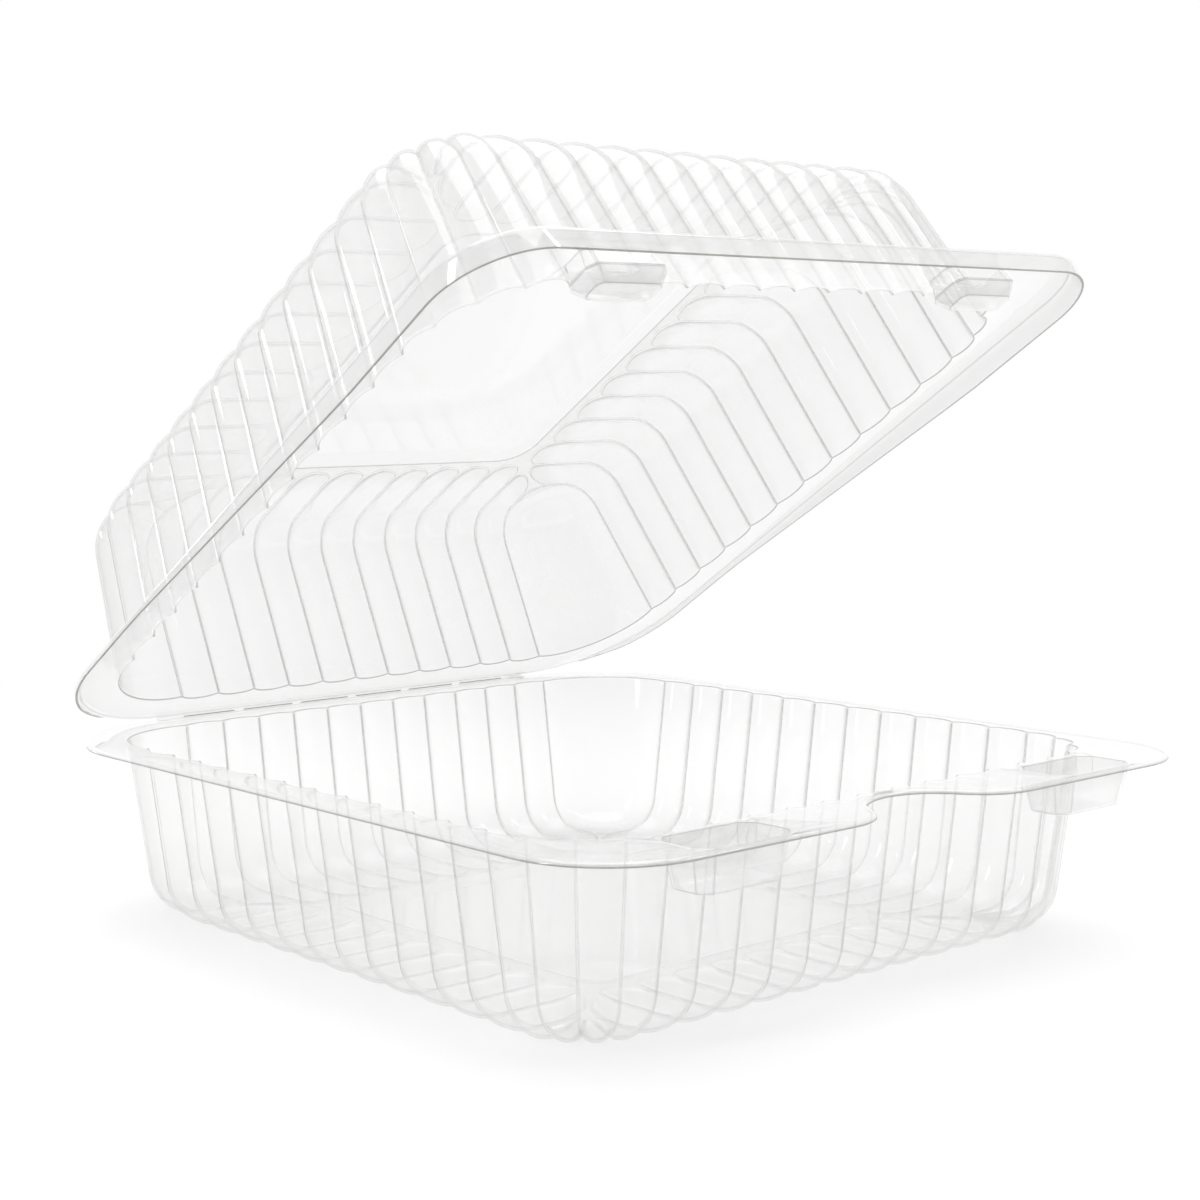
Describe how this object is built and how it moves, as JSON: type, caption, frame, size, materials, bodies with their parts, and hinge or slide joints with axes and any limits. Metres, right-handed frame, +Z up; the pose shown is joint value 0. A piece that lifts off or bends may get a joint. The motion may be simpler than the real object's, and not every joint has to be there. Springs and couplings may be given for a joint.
{
  "type": "hinged clamshell pack",
  "caption": "Clear thin-walled hinged food pack with fluted tray and lid, snap locks and a finger gap, standing open.",
  "frame": {"origin": "under the middle of the pack as it stands open, on the surface that it stands on", "axes": "+Z up, +X along the hinge line, +Y from the locks at the front to the hinge at the back"},
  "size_m": [0.155, 0.1764, 0.146],
  "materials": {
    "clear_sheet": "clear, glossy, smooth"
  },
  "bodies": {
    "tray": {"base_tray": "clear_sheet"},
    "lid": {"lid": "clear_sheet"}
  },
  "joints": [
    {"name": "lid_hinge", "type": "hinge", "parent": "tray", "child": "lid", "pos_m": [0, 0.08221, 0.03555], "axis": [-1, 0, 0], "range_deg": [-32.6, 143.4]}
  ]
}
